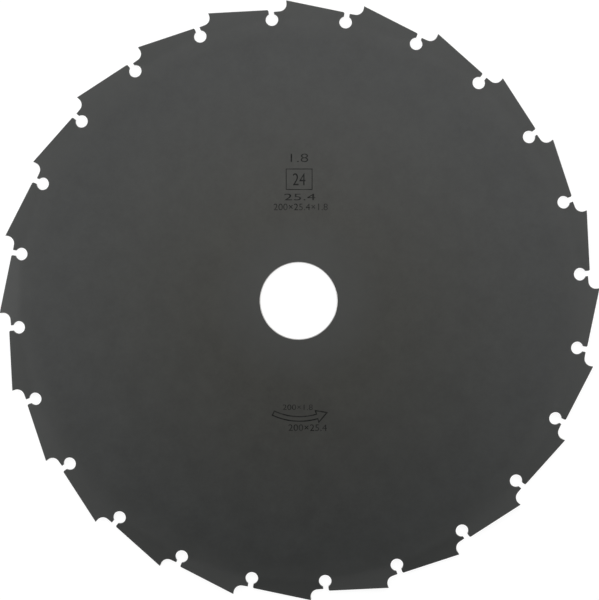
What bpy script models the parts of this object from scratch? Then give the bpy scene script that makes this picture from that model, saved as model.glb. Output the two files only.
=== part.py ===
"""Chisel-tooth saw blade for a clearing saw: one punched steel plate, 200 mm across its tooth tips.

Metres, +Z up. The origin is the centre of the bore, half way through the plate.
The blade turns counterclockwise as seen from +Z, so each tooth cuts on its counterclockwise side.
It is made as the real one is: a blank is punched, bored and ground, and its teeth are set.
"""

import math

import bmesh
import bpy
from mathutils import Matrix, Vector

# Plate
TIP_DIAMETER = 0.200
PLATE_THICKNESS = 0.0018
TOOTH_COUNT = 24
FIRST_GULLET_ANGLE = math.radians(5.4)

# Bore that centres the blade on the saw's flange
BORE_DIAMETER = 0.0254
BORE_CHAMFER = 0.00025

# Gullet hole: a round relief hole that opens outwards through a narrow throat
HOLE_DIAMETER = 0.0042
HOLE_DEPTH = 0.0062
THROAT_WIDTH = 0.00175

# Tooth, measured from the centre of its gullet hole: across towards the tooth, and out from the bore
CUTTING_FACE_ACROSS = 0.00517
GULLET_FLOOR_OUT = 0.00285
GULLET_RADIUS = 0.0024
HEEL_OUT = 0.00319
HEEL_RADIUS = 0.0005

# Grinding: the gullet's face and floor lean back across the plate, from the side that the tooth is set to
FACE_BEVEL = math.radians(5)
FLOOR_BEVEL = math.radians(10)

# Setting: how far each tip stands out of the plate, alternately to +Z and to -Z, and how wide the bend is
TOOTH_SET = 0.0007
BEND_WIDTH = 0.0022

# Facets on round edges and across a bend
BORE_STEPS = 128
HOLE_SIDE_STEPS = 4
HOLE_BOTTOM_STEPS = 10
BEND_STEPS = 6
GULLET_STEPS = 12
HEEL_STEPS = 6

# Points this close are one, and edges this sharp stay sharp
WELD = 1e-6
SHARP = math.radians(30)

# Worked out from the sizes above
TIP_RADIUS = TIP_DIAMETER / 2
PITCH = 2 * math.pi / TOOTH_COUNT
HALF_THICKNESS = PLATE_THICKNESS / 2
HALF_THROAT = THROAT_WIDTH / 2
HOLE_RADIUS = HOLE_DIAMETER / 2
HOLE_RING_RADIUS = TIP_RADIUS - HOLE_DEPTH

# How far out the tooth's tip lies from its gullet hole, so that the tip is on the tip circle
TIP_OUT = math.sqrt(TIP_RADIUS**2 - CUTTING_FACE_ACROSS**2) - HOLE_RING_RADIUS

# How far out of the bore the bends lie: each joins the centres of two neighbouring gullet holes
BEND_RADIUS = HOLE_RING_RADIUS * math.cos(PITCH / 2)

# Where a bend meets its gullet hole, as angles round the hole from across towards the tooth
BEND_OUTER_ANGLE = -PITCH / 2 + math.asin(BEND_WIDTH / HOLE_DIAMETER)
BEND_INNER_ANGLE = -PITCH / 2 - math.asin(BEND_WIDTH / HOLE_DIAMETER)


def arc(centre, radius, start, end, steps):
    """Points on an arc from start to end, both included."""
    points = []
    for step in range(steps + 1):
        angle = start + (end - start) * step / steps
        points.append(centre + radius * Vector((math.cos(angle), math.sin(angle))))
    return points


def beside_gullet(number, point):
    """A point given as (across, out) from a gullet hole's centre, in the plate's own X and Y."""
    angle = FIRST_GULLET_ANGLE + number * PITCH
    outward = Vector((math.cos(angle), math.sin(angle)))
    towards_tooth = Vector((math.sin(angle), -math.cos(angle)))
    return (HOLE_RING_RADIUS + point[1]) * outward + point[0] * towards_tooth


def set_side(number):
    """The side that a gullet's tooth is set to: +1 for +Z, -1 for -Z."""
    return 1 if number % 2 else -1


def bend_end():
    """The points of a gullet hole's edge that its tooth's bend runs out to, from the outermost in."""
    return arc(Vector((0, 0)), HOLE_RADIUS, BEND_OUTER_ANGLE, BEND_INNER_ANGLE, BEND_STEPS)


def gullet_hole(number):
    """The relief hole's edge, from the tooth's side of the throat round to the heel's side.

    Both sides have facets where the bends of the two teeth reach the hole.
    """
    centre = Vector((0, 0))
    throat = math.acos(HALF_THROAT / HOLE_RADIUS)
    side = arc(centre, HOLE_RADIUS, throat, BEND_OUTER_ANGLE, HOLE_SIDE_STEPS)[:-1] + bend_end()
    bottom = arc(centre, HOLE_RADIUS, BEND_INNER_ANGLE, -math.pi - BEND_INNER_ANGLE, HOLE_BOTTOM_STEPS)
    heel_side = [Vector((-point.x, point.y)) for point in reversed(side)]
    edge = side + bottom[1:-1] + heel_side
    return [beside_gullet(number, point) for point in edge]


def rounded_corner(before, corner, after, radius, steps):
    """An outer corner of a counterclockwise outline, as an arc that touches both its sides."""
    to_before = (before - corner).normalized()
    to_after = (after - corner).normalized()
    half = to_before.angle(to_after) / 2
    centre = corner + (to_before + to_after).normalized() * radius / math.sin(half)
    spoke = corner + to_before * radius / math.tan(half) - centre
    turn = math.pi - 2 * half
    return [centre + Matrix.Rotation(turn * step / steps, 2) @ spoke for step in range(steps + 1)]


def tooth_back(number):
    """The heel and straight back of a gullet's tooth.

    The back runs on past the tip to a nose over the throat, in stock that the gullet is ground from.
    """
    throat_wall = beside_gullet(number - 1, (-HALF_THROAT, 0))
    heel = beside_gullet(number - 1, (-HALF_THROAT, HEEL_OUT))
    tip = beside_gullet(number, (CUTTING_FACE_ACROSS, TIP_OUT))
    nib = beside_gullet(number, (HALF_THROAT, GULLET_FLOOR_OUT))
    along_throat = nib - beside_gullet(number, (HALF_THROAT, 0))
    along_back = tip - heel
    reach = (nib - heel).cross(along_throat) / along_back.cross(along_throat)
    nose = heel + along_back * reach
    return rounded_corner(throat_wall, heel, tip, HEEL_RADIUS, HEEL_STEPS) + [nose]


def steel(name, colour, roughness, metallic):
    """A plain steel surface."""
    material = bpy.data.materials.new(name)
    material.use_nodes = True
    shader = material.node_tree.nodes["Principled BSDF"]
    shader.inputs["Base Color"].default_value = (*colour, 1)
    shader.inputs["Roughness"].default_value = roughness
    shader.inputs["Metallic"].default_value = metallic
    return material


def mesh_object(name, mesh, collection):
    """An object that shows a mesh, in a collection."""
    item = bpy.data.objects.new(name, mesh)
    collection.objects.link(item)
    return item


def cutter_object(name, mesh, collection):
    """An object that only cuts: drawn as wires, and never rendered."""
    item = mesh_object(name, mesh, collection)
    item.hide_render = True
    item.display_type = "WIRE"
    return item


def evaluated_mesh(item):
    """A new mesh of what an object shows, with its curve filled or its modifiers applied."""
    graph = bpy.context.evaluated_depsgraph_get()
    return bpy.data.meshes.new_from_object(item.evaluated_get(graph), depsgraph=graph)


def join_caps(shape):
    """Welds an extruded outline's caps to its sides, and makes each cap one face."""
    bmesh.ops.remove_doubles(shape, verts=shape.verts, dist=WELD)
    shape.normal_update()
    for side in (1, -1):
        cap = [face for face in shape.faces if face.normal.z * side > 0.5]
        bmesh.ops.dissolve_faces(shape, faces=cap)


def corner_at(shape, place, height):
    """The corner of a shape that lies nearest to a place on one face of the plate."""
    target = Vector((place.x, place.y, height))
    return min(shape.verts, key=lambda vert: (vert.co - target).length_squared)


def mark_bend(shape, number):
    """Splits both faces of the blank into strips along a tooth's bend, so that they can curve there."""
    for point in bend_end():
        ends = (beside_gullet(number, point), beside_gullet(number - 1, (-point.x, point.y)))
        for height in (HALF_THICKNESS, -HALF_THICKNESS):
            bmesh.ops.connect_verts(shape, verts=[corner_at(shape, end, height) for end in ends])


def punched_blank(coating):
    """The flat blank's mesh, with gullet holes and throats, and stock where the gullets will be ground."""
    outline = []
    for number in range(TOOTH_COUNT):
        outline += tooth_back(number)
        outline += gullet_hole(number)
    curve = bpy.data.curves.new("blank_outline", "CURVE")
    curve.dimensions = "2D"
    curve.fill_mode = "BOTH"
    curve.extrude = HALF_THICKNESS
    curve.materials.append(coating)
    spline = curve.splines.new("POLY")
    spline.points.add(len(outline) - 1)
    for point, place in zip(spline.points, outline):
        point.co = (place.x, place.y, 0, 1)
    spline.use_cyclic_u = True
    item = bpy.data.objects.new("blank_outline", curve)
    bpy.context.scene.collection.objects.link(item)
    mesh = evaluated_mesh(item)
    bpy.data.objects.remove(item)

    shape = bmesh.new()
    shape.from_mesh(mesh)
    join_caps(shape)
    for number in range(TOOTH_COUNT):
        mark_bend(shape, number)
    shape.to_mesh(mesh)
    shape.free()
    return mesh


def gullet_profile():
    """The ground gullet as (across, out): a side in the throat, the floor, its corner and the cutting face."""
    radius = min(GULLET_RADIUS, CUTTING_FACE_ACROSS - HALF_THROAT)
    corner = Vector((CUTTING_FACE_ACROSS - radius, GULLET_FLOOR_OUT + radius))
    past_tip = 2 * TIP_OUT
    profile = [Vector((0, past_tip)), Vector((0, GULLET_FLOOR_OUT))]
    profile += arc(corner, radius, -math.pi / 2, 0, GULLET_STEPS)
    profile.append(Vector((CUTTING_FACE_ACROSS, past_tip)))
    return profile


def add_gullet_prism(shape, number):
    """A leaning prism of the gullet's profile, true to size on the side that the tooth is set to.

    It runs a plate's thickness past each side of the plate.
    """
    lean = Vector((math.tan(FACE_BEVEL), -math.tan(FLOOR_BEVEL)))
    edges = []
    for depth in (-PLATE_THICKNESS, 2 * PLATE_THICKNESS):
        height = set_side(number) * (HALF_THICKNESS - depth)
        places = [beside_gullet(number, point + lean * depth) for point in gullet_profile()]
        end = shape.faces.new([shape.verts.new((place.x, place.y, height)) for place in places])
        edges += end.edges[:]
    bmesh.ops.bridge_loops(shape, edges=edges)


def gullet_cutters(ground, collection):
    """The cutters of all the gullets, in one object."""
    shape = bmesh.new()
    for number in range(TOOTH_COUNT):
        add_gullet_prism(shape, number)
    bmesh.ops.recalc_face_normals(shape, faces=shape.faces)
    mesh = bpy.data.meshes.new("gullet_cutters")
    shape.to_mesh(mesh)
    shape.free()
    mesh.materials.append(ground)
    return cutter_object("gullet_cutters", mesh, collection)


def bore_cutter(ground, collection):
    """A turned plug of the bore's diameter, twice as long as the plate is thick.

    It widens at 45 degrees at both faces, to break their edges.
    """
    bore = BORE_DIAMETER / 2
    end = PLATE_THICKNESS
    wall = HALF_THICKNESS - BORE_CHAMFER
    mouth = bore + end - wall
    profile = [(0, end), (mouth, end), (bore, wall), (bore, -wall), (mouth, -end), (0, -end)]
    points = [(radius, 0, height) for radius, height in profile]
    lines = [(place, place + 1) for place in range(len(profile) - 1)]
    mesh = bpy.data.meshes.new("bore_cutter")
    mesh.from_pydata(points, lines, [])
    mesh.materials.append(ground)
    item = cutter_object("bore_cutter", mesh, collection)
    turned = item.modifiers.new("turned", "SCREW")
    turned.steps = BORE_STEPS
    turned.render_steps = BORE_STEPS
    turned.use_merge_vertices = True
    turned.merge_threshold = WELD
    return item


def cut(item, cutter):
    """Cuts one object out of another. The new faces take the cutter's material."""
    boolean = item.modifiers.new(cutter.name, "BOOLEAN")
    boolean.operation = "DIFFERENCE"
    boolean.solver = "EXACT"
    boolean.material_mode = "TRANSFER"
    boolean.object = cutter


def tooth_direction(number):
    """The way out from the bore that is square to the bend of a gullet's tooth."""
    angle = FIRST_GULLET_ANGLE + (number - 0.5) * PITCH
    return Vector((math.cos(angle), math.sin(angle), 0))


def past_bend(distance):
    """How far out a place counts as leaned, from its distance past the middle of the bend.

    It starts from nothing at the bend's inner side and grows evenly up to the outer side.
    """
    half = BEND_WIDTH / 2
    if distance > half:
        return distance
    return max(distance + half, 0) ** 2 / (2 * BEND_WIDTH)


def bend_tooth(shape, number):
    """Leans a tooth out of the plate through a round bend, until its tip stands out by the set.

    Its edges stay square to the plate, as on a blade whose backs are ground after setting.
    """
    outward = tooth_direction(number)
    tip = beside_gullet(number, (CUTTING_FACE_ACROSS, TIP_OUT)).to_3d()
    slope = set_side(number) * TOOTH_SET / past_bend(outward.dot(tip) - BEND_RADIUS)
    for vert in shape.verts:
        around = Vector((vert.co.x, vert.co.y, 0)).angle(outward)
        if around < PITCH / 2:
            vert.co.z += slope * past_bend(outward.dot(vert.co) - BEND_RADIUS)


def set_teeth(mesh):
    """Sets the teeth alternately to +Z and to -Z, and shades the round edges of the plate smooth."""
    shape = bmesh.new()
    shape.from_mesh(mesh)
    for number in range(TOOTH_COUNT):
        bend_tooth(shape, number)
    shape.to_mesh(mesh)
    shape.free()
    mesh.set_sharp_from_angle(angle=SHARP)
    for face in mesh.polygons:
        face.use_smooth = abs(face.normal.z) < math.cos(SHARP)


def build():
    """Makes the blade in a collection of its own, and its cutters in another."""
    for item in list(bpy.data.objects):
        bpy.data.objects.remove(item)
    blade_collection = bpy.data.collections.new("saw_blade")
    cutter_collection = bpy.data.collections.new("cutters")
    bpy.context.scene.collection.children.link(blade_collection)
    bpy.context.scene.collection.children.link(cutter_collection)
    coating = steel("dark_coating", (0.058, 0.059, 0.057), 0.5, 0.3)
    ground = steel("ground_steel", (0.62, 0.61, 0.6), 0.3, 1)

    blade = mesh_object("blade", punched_blank(coating), blade_collection)
    cut(blade, bore_cutter(ground, cutter_collection))
    cut(blade, gullet_cutters(ground, cutter_collection))
    blade.data = evaluated_mesh(blade)
    blade.data.name = "blade"
    blade.modifiers.clear()
    set_teeth(blade.data)
    facets = blade.modifiers.new("facets", "TRIANGULATE")
    facets.quad_method = "BEAUTY"
    facets.ngon_method = "BEAUTY"


build()
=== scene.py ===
"""Looks of the chisel-tooth saw blade: its dark coating, ground gullets, stamped marks and a pale studio."""

import math

import bmesh
import bpy
from mathutils import Matrix, Vector


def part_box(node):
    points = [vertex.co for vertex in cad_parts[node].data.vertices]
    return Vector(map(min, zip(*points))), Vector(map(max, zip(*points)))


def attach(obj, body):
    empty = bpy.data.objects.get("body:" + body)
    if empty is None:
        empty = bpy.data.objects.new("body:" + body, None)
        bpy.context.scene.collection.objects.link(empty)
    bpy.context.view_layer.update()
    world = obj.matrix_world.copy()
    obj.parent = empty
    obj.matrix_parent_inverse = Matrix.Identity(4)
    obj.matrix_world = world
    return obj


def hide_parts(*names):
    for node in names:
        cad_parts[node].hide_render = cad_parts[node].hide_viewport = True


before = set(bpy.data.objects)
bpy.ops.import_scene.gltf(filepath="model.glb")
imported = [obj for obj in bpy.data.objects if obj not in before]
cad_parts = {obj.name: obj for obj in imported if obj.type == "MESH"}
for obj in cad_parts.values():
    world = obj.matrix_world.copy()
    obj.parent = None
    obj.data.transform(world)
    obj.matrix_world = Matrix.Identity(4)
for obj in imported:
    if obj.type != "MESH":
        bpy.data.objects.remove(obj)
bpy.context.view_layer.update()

# Sizes that the looks share with the solid
HALF_THICKNESS = 0.0009
FLOOR_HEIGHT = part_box("blade")[0].z

# The photograph: where the camera stood, how it leaned from straight down, and its focal length
CAMERA_PLACE = (0.00877, 0.00566, 0.526)
CAMERA_TURN = (-0.01025, 0.01612, -0.00037)
FOCAL_LENGTH = 94.79

# Softboxes: width of each, then name, place in metres and power in watts
SOFTBOX = 0.25
LIGHTS = (
    ("top_light", (0, 0.15, 0.3), 0.456),
    ("right_light", (0.2, 0, 0.3), 0.364),
    ("left_light", (-0.2, 0, 0.3), 0.263),
    ("low_left_light", (-0.3, 0, 0.2), 0.385),
    ("upper_right_light", (0.2, 0.2, 0.3), 0.129),
)

# Floor and wall: size, and what shows of them (a glow under a thin paint) beside the paint that light meets
FLOOR_RADIUS = 3
FLOOR_SEGMENTS = 96
WALL_HEIGHT = 1
SEEN_GLOW = 0.92
SEEN_PAINT = (0.16, 0.16, 0.16)
LIT_PAINT = (0.8, 0.8, 0.8)

# Edges: what counts as one flat, what is a corner, how far corners are broken, and how near points are joined
FLAT = math.radians(0.5)
CORNER = math.radians(30)
EDGE_BREAK = 0.00005
BREAK_STEPS = 2
WELD = 1e-6

# Faces, by how much of their normal runs along Z: walls lie below the first, ground faces between the
# first two, and level faces above the third. The last is how far past the bore's radius its own faces reach.
WALL_LEAN = 0.03
GROUND_LEAN = 0.9
LEVEL_LEAN = 0.98
BORE_MARGIN = 0.0005

# The coat's colour in the middle, further out, and a lighter colour painted near the teeth and round the bore
# as glare from the bright ground (painted light), with the share by which its mottle lightens and darkens it
COAT_CENTRE = (0.0424, 0.0428, 0.0380)
COAT_OUTER = (0.0402, 0.0423, 0.0411)
COAT_GLARE = (0.0545, 0.0565, 0.0547)
MOTTLE = 0.11

# Distances from the middle of the bore: where the coat turns from one colour to the other, where the painted
# glare lightens it towards the teeth, and where the painted glare at the bore fades out, from a share of its
# full strength
COAT_TURNS = (0.03, 0.08)
GLARE_RIM = (0.087, 0.1)
GLARE_BORE = (0.0127, 0.03)
BORE_GLARE_SHARE = 0.7

# How much the coat and the marks shine, and the darkest and lightest of the ground steel and of the marks
COAT_SPECULAR = 0.275
MARK_SPECULAR = 0.1
STEEL_DARK = (0.55, 0.545, 0.535)
STEEL_LIGHT = (0.72, 0.715, 0.705)
MARK_DEEP = (0.006, 0.0062, 0.0058)
MARK_FAINT = (0.024, 0.0245, 0.0231)

# Marks: depth of the stamp, width of the arrow's and the frame's lines, and steps in a numeral's curves
MARK_DEPTH = 0.0001
ARROW_STROKE = 0.00042
FRAME_STROKE = 0.00026
NUMERAL_STEPS = 5

# Rotation arrow: a band between two arcs round one centre, with an open head
ARROW_CENTRE = Vector((0.0003, -0.0187))
ARROW_RADIUS = 0.0206
ARROW_BAND = 0.00153
ARROW_TAIL = math.radians(-115)
ARROW_NECK = math.radians(-73.5)
ARROW_TIP = math.radians(-63.6)
HEAD_WIDTH = 0.004
ARC_STEPS = 32

# Numerals, the blade's own sizes and tooth count: text, place of its centre, width and height, in metres on
# the upper face, and how much bolder than the plain font its strokes are, in shares of the font's size
# (thinner where that is below 0)
NUMERALS = (
    ("1.8", (0.0003, 0.0475), (0.0058, 0.0028), -0.012),
    ("24", (0.0002, 0.0404), (0.0042, 0.0040), -0.004),
    ("25.4", (0.0004, 0.0345), (0.0104, 0.0022), -0.004),
    ("200×25.4×1.8", (0.0007, 0.0312), (0.0180, 0.0022), -0.004),
    ("200×1.8", (-0.0003, -0.0354), (0.0100, 0.0018), -0.004),
    ("200×25.4", (0.003, -0.0422), (0.0128, 0.0022), 0),
)
FRAME_CENTRE = (0.0002, 0.0404)
FRAME_SIZE = (0.0086, 0.0068)


def new_material(name):
    """A material with an empty node tree and its output."""
    material = bpy.data.materials.new(name)
    material.use_nodes = True
    tree = material.node_tree
    tree.nodes.clear()
    return material, tree, tree.nodes.new("ShaderNodeOutputMaterial")


def times(colour, factor):
    """A colour made lighter or darker."""
    return tuple(channel * factor for channel in colour)


def noise(tree, scale, detail, roughness=0.5, stretch=(1, 1, 1)):
    """A noise pattern in the object's own coordinates, its scale the number of patches to the metre."""
    place = tree.nodes.new("ShaderNodeTexCoord")
    mapping = tree.nodes.new("ShaderNodeMapping")
    mapping.inputs["Scale"].default_value = stretch
    pattern = tree.nodes.new("ShaderNodeTexNoise")
    pattern.inputs["Scale"].default_value = scale
    pattern.inputs["Detail"].default_value = detail
    pattern.inputs["Roughness"].default_value = roughness
    tree.links.new(place.outputs["Object"], mapping.inputs["Vector"])
    tree.links.new(mapping.outputs["Vector"], pattern.inputs["Vector"])
    return pattern.outputs["Fac"]


def spread(tree, value, low, high, to_low, to_high):
    """A value mapped from one range to another."""
    mapped = tree.nodes.new("ShaderNodeMapRange")
    settings = {"From Min": low, "From Max": high, "To Min": to_low, "To Max": to_high}
    for name, number in settings.items():
        mapped.inputs[name].default_value = number
    tree.links.new(value, mapped.inputs["Value"])
    return mapped.outputs["Result"]


def blend_colours(tree, factor, first, second):
    """A mix of two colours by a factor. A colour is three numbers, or another node's output."""
    mix = tree.nodes.new("ShaderNodeMix")
    mix.data_type = "RGBA"
    for name, colour in (("A", first), ("B", second)):
        if isinstance(colour, tuple):
            mix.inputs[name].default_value = (*colour, 1)
        else:
            tree.links.new(colour, mix.inputs[name])
    tree.links.new(factor, mix.inputs["Factor"])
    return mix.outputs["Result"]


def from_bore(tree):
    """The distance from the middle of the bore."""
    place = tree.nodes.new("ShaderNodeTexCoord")
    length = tree.nodes.new("ShaderNodeVectorMath")
    length.operation = "LENGTH"
    tree.links.new(place.outputs["Object"], length.inputs[0])
    return length.outputs["Value"]


def bump(tree, height, strength, distance):
    """A bump from a height pattern, its distance in metres."""
    made = tree.nodes.new("ShaderNodeBump")
    made.inputs["Strength"].default_value = strength
    made.inputs["Distance"].default_value = distance
    tree.links.new(height, made.inputs["Height"])
    return made.outputs["Normal"]


def dark_coating():
    """Dark satin coat on rolled steel, with a faint mottle, a fine grain, and painted glare that lightens it
    towards the teeth and round the bore.
    """
    material, tree, output = new_material("dark_coating")
    shader = tree.nodes.new("ShaderNodeBsdfPrincipled")
    shader.inputs["Specular IOR Level"].default_value = COAT_SPECULAR
    radius = from_bore(tree)
    outwards = spread(tree, radius, *COAT_TURNS, 0, 1)
    dark, light = (
        blend_colours(tree, outwards, times(COAT_CENTRE, tone), times(COAT_OUTER, tone))
        for tone in (1 - MOTTLE, 1 + MOTTLE)
    )
    mottle = spread(tree, noise(tree, scale=85, detail=5, roughness=0.9), 0.35, 0.65, 0, 1)
    colour = blend_colours(tree, mottle, dark, light)
    # Painted light: glare painted in as a lighter coat towards the teeth and round the bore
    for glare in (spread(tree, radius, *GLARE_RIM, 0, 1), spread(tree, radius, *GLARE_BORE, BORE_GLARE_SHARE, 0)):
        colour = blend_colours(tree, glare, colour, COAT_GLARE)
    tree.links.new(colour, shader.inputs["Base Color"])
    rough = spread(tree, noise(tree, scale=900, detail=3), 0.3, 0.7, to_low=0.38, to_high=0.42)
    tree.links.new(rough, shader.inputs["Roughness"])
    grain = bump(tree, noise(tree, scale=5200, detail=2), strength=0.07, distance=0.00002)
    tree.links.new(grain, shader.inputs["Normal"])
    tree.links.new(shader.outputs["BSDF"], output.inputs["Surface"])
    return material


def ground_steel():
    """Bare ground steel, with fine lines through the plate's thickness, the way the wheel ran."""
    material, tree, output = new_material("ground_steel")
    shader = tree.nodes.new("ShaderNodeBsdfPrincipled")
    shader.inputs["Metallic"].default_value = 1
    lines = noise(tree, scale=9000, detail=2, stretch=(1, 1, 0.03))
    colour = blend_colours(tree, lines, STEEL_DARK, STEEL_LIGHT)
    tree.links.new(colour, shader.inputs["Base Color"])
    rough = spread(tree, lines, 0.3, 0.7, to_low=0.22, to_high=0.38)
    tree.links.new(rough, shader.inputs["Roughness"])
    tree.links.new(bump(tree, lines, strength=0.3, distance=0.00001), shader.inputs["Normal"])
    tree.links.new(shader.outputs["BSDF"], output.inputs["Surface"])
    return material


def stamped_mark():
    """The darker floor of the stamped marks, fainter where the stamp took less."""
    material, tree, output = new_material("stamped_mark")
    shader = tree.nodes.new("ShaderNodeBsdfPrincipled")
    shader.inputs["Specular IOR Level"].default_value = MARK_SPECULAR
    faintness = spread(tree, noise(tree, scale=450, detail=3), 0.35, 0.65, 0, 1)
    colour = blend_colours(tree, faintness, MARK_DEEP, MARK_FAINT)
    tree.links.new(colour, shader.inputs["Base Color"])
    rough = spread(tree, noise(tree, scale=2500, detail=2), 0.3, 0.7, to_low=0.6, to_high=0.75)
    tree.links.new(rough, shader.inputs["Roughness"])
    tree.links.new(shader.outputs["BSDF"], output.inputs["Surface"])
    return material


def new_object(name, mesh):
    """An object in the scene that shows a mesh."""
    item = bpy.data.objects.new(name, mesh)
    bpy.context.scene.collection.objects.link(item)
    return item


def evaluated_mesh(item):
    """A new mesh of what an object shows, with its modifiers applied."""
    graph = bpy.context.evaluated_depsgraph_get()
    return bpy.data.meshes.new_from_object(item.evaluated_get(graph), depsgraph=graph)


def is_machined(face, bore):
    """True for the bore, of a given radius, and for the ground faces of the gullets, which lean."""
    if face.calc_center_median().xy.length < bore + BORE_MARGIN:
        return abs(face.normal.z) < GROUND_LEAN
    return WALL_LEAN < abs(face.normal.z) < GROUND_LEAN


def broken_edges(cad, materials):
    """A copy of the solid with whole flats, machined faces picked out and every corner slightly broken."""
    mesh = cad.data.copy()
    mesh.name = "saw_blade"
    for shading in ("custom_normal", "sharp_face", "sharp_edge"):
        mesh.attributes.remove(mesh.attributes[shading])
    mesh.materials.clear()
    for material in materials:
        mesh.materials.append(material)
    shape = bmesh.new()
    shape.from_mesh(mesh)
    bmesh.ops.remove_doubles(shape, verts=shape.verts, dist=WELD)
    bmesh.ops.dissolve_limit(shape, angle_limit=FLAT, verts=shape.verts, edges=shape.edges)
    shape.normal_update()
    bore = min(vert.co.xy.length for vert in shape.verts)
    for face in shape.faces:
        face.material_index = int(is_machined(face, bore))
    corners = [edge for edge in shape.edges if edge.calc_face_angle(0) > CORNER]
    bmesh.ops.bevel(
        shape,
        geom=corners,
        offset=EDGE_BREAK,
        offset_type="OFFSET",
        segments=BREAK_STEPS,
        profile=0.5,
        affect="EDGES",
        clamp_overlap=True,
        material=-1,
    )
    shape.to_mesh(mesh)
    shape.free()
    return mesh


def join_caps(mesh):
    """Joins a filled curve's loose caps to its walls."""
    shape = bmesh.new()
    shape.from_mesh(mesh)
    bmesh.ops.remove_doubles(shape, verts=shape.verts, dist=WELD)
    shape.to_mesh(mesh)
    shape.free()


def text_cutter(text, centre, size, bolder):
    """Numerals as a closed solid of a given width and height, standing through the upper face."""
    curve = bpy.data.curves.new("numerals", "FONT")
    curve.body = text
    curve.offset = bolder
    curve.extrude = MARK_DEPTH
    curve.resolution_u = NUMERAL_STEPS
    item = new_object("numerals", curve)
    mesh = evaluated_mesh(item)
    bpy.data.objects.remove(item)
    xs = [vert.co.x for vert in mesh.vertices]
    ys = [vert.co.y for vert in mesh.vertices]
    width, height = max(xs) - min(xs), max(ys) - min(ys)
    middle = Vector(((max(xs) + min(xs)) / 2, (max(ys) + min(ys)) / 2, 0))
    mesh.transform(Matrix.Translation(-middle))
    mesh.transform(Matrix.Diagonal((size[0] / width, size[1] / height, 1, 1)))
    mesh.transform(Matrix.Translation((*centre, HALF_THICKNESS)))
    join_caps(mesh)
    return mesh


def moved_sideways(outline, distance):
    """A closed outline moved to its left by a distance, with its corners kept sharp."""
    moved = []
    for before, point, after in zip(outline[-1:] + outline[:-1], outline, outline[1:] + outline[:1]):
        arriving = (point - before).normalized()
        leaving = (after - point).normalized()
        across = (arriving + leaving).orthogonal() / (1 + arriving.dot(leaving))
        moved.append(point + across * distance)
    return moved


def stroke_cutter(outline, width):
    """A closed line of a given width, as a solid that stands through the upper face."""
    curve = bpy.data.curves.new("stroke", "CURVE")
    curve.dimensions = "2D"
    curve.fill_mode = "BOTH"
    curve.extrude = MARK_DEPTH
    for side in (-width / 2, width / 2):
        places = moved_sideways(outline, side)
        spline = curve.splines.new("POLY")
        spline.points.add(len(places) - 1)
        for point, place in zip(spline.points, places):
            point.co = (*place, 0, 1)
        spline.use_cyclic_u = True
    item = new_object("stroke", curve)
    mesh = evaluated_mesh(item)
    bpy.data.objects.remove(item)
    mesh.transform(Matrix.Translation((0, 0, HALF_THICKNESS)))
    join_caps(mesh)
    return mesh


def arrow_point(radius, angle):
    """A point of the arrow, from its distance and direction from the arcs' centre."""
    return ARROW_CENTRE + Vector((math.cos(angle), math.sin(angle))) * radius


def arrow_outline():
    """The rotation arrow's outline: inner arc, head and outer arc."""
    inner = ARROW_RADIUS - ARROW_BAND / 2
    outer = ARROW_RADIUS + ARROW_BAND / 2
    turns = [ARROW_TAIL + (ARROW_NECK - ARROW_TAIL) * step / ARC_STEPS for step in range(ARC_STEPS + 1)]
    outline = [arrow_point(inner, turn) for turn in turns]
    outline.append(arrow_point(ARROW_RADIUS - HEAD_WIDTH / 2, ARROW_NECK))
    outline.append(arrow_point(ARROW_RADIUS, ARROW_TIP))
    outline.append(arrow_point(ARROW_RADIUS + HEAD_WIDTH / 2, ARROW_NECK))
    outline += [arrow_point(outer, turn) for turn in reversed(turns)]
    return outline


def frame_outline():
    """The frame round the tooth count: a rectangle."""
    centre, half = Vector(FRAME_CENTRE), Vector(FRAME_SIZE) / 2
    corners = ((-1, -1), (1, -1), (1, 1), (-1, 1))
    return [centre + half * Vector(corner) for corner in corners]


def mark_cutters(material):
    """One object that holds every mark's cutter."""
    meshes = [text_cutter(*numeral) for numeral in NUMERALS]
    meshes.append(stroke_cutter(arrow_outline(), ARROW_STROKE))
    meshes.append(stroke_cutter(frame_outline(), FRAME_STROKE))
    shape = bmesh.new()
    for mesh in meshes:
        shape.from_mesh(mesh)
        bpy.data.meshes.remove(mesh)
    bmesh.ops.recalc_face_normals(shape, faces=shape.faces)
    joined = bpy.data.meshes.new("mark_cutters")
    shape.to_mesh(joined)
    shape.free()
    joined.materials.append(material)
    return new_object("mark_cutters", joined)


def stamp(item, cutters):
    """Cuts the marks into the blade."""
    boolean = item.modifiers.new("marks", "BOOLEAN")
    boolean.operation = "DIFFERENCE"
    boolean.solver = "EXACT"
    boolean.use_self = True
    boolean.material_mode = "TRANSFER"
    boolean.object = cutters
    mesh = evaluated_mesh(item)
    for layer in list(mesh.uv_layers):
        mesh.uv_layers.remove(layer)
    item.modifiers.clear()
    old = item.data
    item.data = mesh
    bpy.data.meshes.remove(old)
    bpy.data.objects.remove(cutters)


def shade(mesh):
    """Flats stay flat, and round walls and broken corners are shaded smooth."""
    mesh.set_sharp_from_angle(angle=CORNER)
    for face in mesh.polygons:
        face.use_smooth = abs(face.normal.z) < LEVEL_LEAN


def build_blade():
    """The visible blade, which stands for the solid."""
    coat, ground, mark = dark_coating(), ground_steel(), stamped_mark()
    mesh = broken_edges(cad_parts["blade"], (coat, ground))
    blade = new_object("saw_blade", mesh)
    stamp(blade, mark_cutters(mark))
    shade(blade.data)
    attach(blade, "root")
    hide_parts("blade")


def seen_directly(tree):
    """A factor that is 1 for what the camera, a reflection or a view through glass sees, and 0 for light."""
    path = tree.nodes.new("ShaderNodeLightPath")
    either = None
    for name in ("Is Camera Ray", "Is Glossy Ray", "Is Transmission Ray"):
        if either is None:
            either = path.outputs[name]
            continue
        largest = tree.nodes.new("ShaderNodeMath")
        largest.operation = "MAXIMUM"
        tree.links.new(either, largest.inputs[0])
        tree.links.new(path.outputs[name], largest.inputs[1])
        either = largest.outputs["Value"]
    return either


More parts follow.
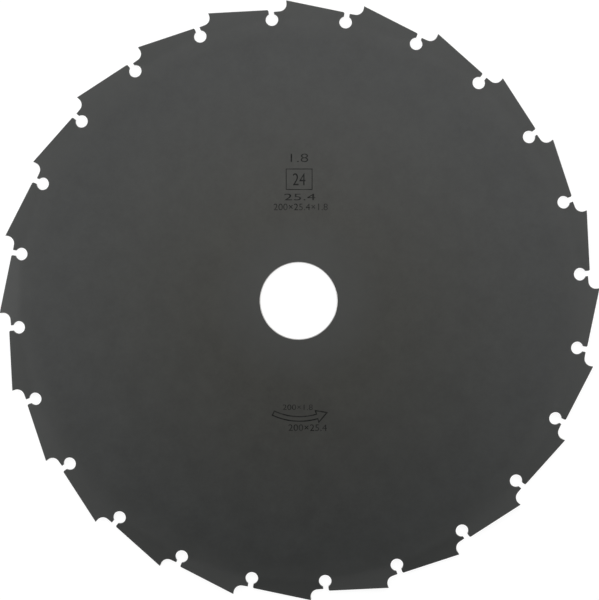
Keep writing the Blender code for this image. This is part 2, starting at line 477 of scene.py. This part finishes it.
def pale_surface():
    """White where it is seen, with enough plain paint in it to keep the blade's shadow."""
    material, tree, output = new_material("pale_surface")
    plain = tree.nodes.new("ShaderNodeBsdfDiffuse")
    plain.inputs["Color"].default_value = (*LIT_PAINT, 1)
    thin = tree.nodes.new("ShaderNodeBsdfDiffuse")
    thin.inputs["Color"].default_value = (*SEEN_PAINT, 1)
    light = tree.nodes.new("ShaderNodeEmission")
    light.inputs["Strength"].default_value = SEEN_GLOW
    white = tree.nodes.new("ShaderNodeAddShader")
    tree.links.new(light.outputs["Emission"], white.inputs[0])
    tree.links.new(thin.outputs["BSDF"], white.inputs[1])
    mix = tree.nodes.new("ShaderNodeMixShader")
    tree.links.new(seen_directly(tree), mix.inputs["Fac"])
    tree.links.new(plain.outputs["BSDF"], mix.inputs[1])
    tree.links.new(white.outputs["Shader"], mix.inputs[2])
    tree.links.new(mix.outputs["Shader"], output.inputs["Surface"])
    return material


def build_floor():
    """A pale round floor that the lower tooth tips stand on, and a low pale wall round it."""
    pale = pale_surface()
    floor_mesh = bpy.data.meshes.new("floor")
    shape = bmesh.new()
    bmesh.ops.create_circle(shape, cap_ends=True, segments=FLOOR_SEGMENTS, radius=FLOOR_RADIUS)
    shape.to_mesh(floor_mesh)
    shape.free()
    floor = new_object("floor", floor_mesh)
    floor.location.z = FLOOR_HEIGHT
    floor.data.materials.append(pale)

    wall_mesh = bpy.data.meshes.new("wall")
    shape = bmesh.new()
    bmesh.ops.create_cone(
        shape,
        cap_ends=False,
        segments=FLOOR_SEGMENTS,
        radius1=FLOOR_RADIUS,
        radius2=FLOOR_RADIUS,
        depth=WALL_HEIGHT,
    )
    shape.to_mesh(wall_mesh)
    shape.free()
    wall = new_object("wall", wall_mesh)
    wall.location.z = FLOOR_HEIGHT + WALL_HEIGHT / 2
    wall.data.materials.append(pale)


def soft_light(name, place, power):
    """A square softbox at a place, facing the blade's centre."""
    data = bpy.data.lights.new(name, "AREA")
    data.shape = "SQUARE"
    data.size = SOFTBOX
    data.energy = power
    lamp = bpy.data.objects.new(name, data)
    lamp.location = place
    lamp.rotation_euler = Vector(place).to_track_quat("Z", "Y").to_euler()
    lamp.visible_camera = False
    bpy.context.scene.collection.objects.link(lamp)


def build_lights():
    """Softboxes close round the blade, strongest towards its top, in a dark studio."""
    for light in LIGHTS:
        soft_light(*light)
    world = bpy.data.worlds.new("dark_studio")
    world.use_nodes = True
    world.node_tree.nodes["Background"].inputs["Color"].default_value = (0, 0, 0, 1)
    bpy.context.scene.world = world


def build_camera():
    """The camera looks down on the blade, a degree off its axis, with the photograph's top at +Y."""
    data = bpy.data.cameras.new("camera")
    data.lens = FOCAL_LENGTH
    data.sensor_width = 36
    data.clip_start = 0.01
    camera = bpy.data.objects.new("camera", data)
    camera.location = CAMERA_PLACE
    camera.rotation_euler = CAMERA_TURN
    bpy.context.scene.collection.objects.link(camera)
    bpy.context.scene.camera = camera


bpy.context.scene.view_settings.view_transform = "Standard"
build_camera()
build_blade()
build_floor()
build_lights()
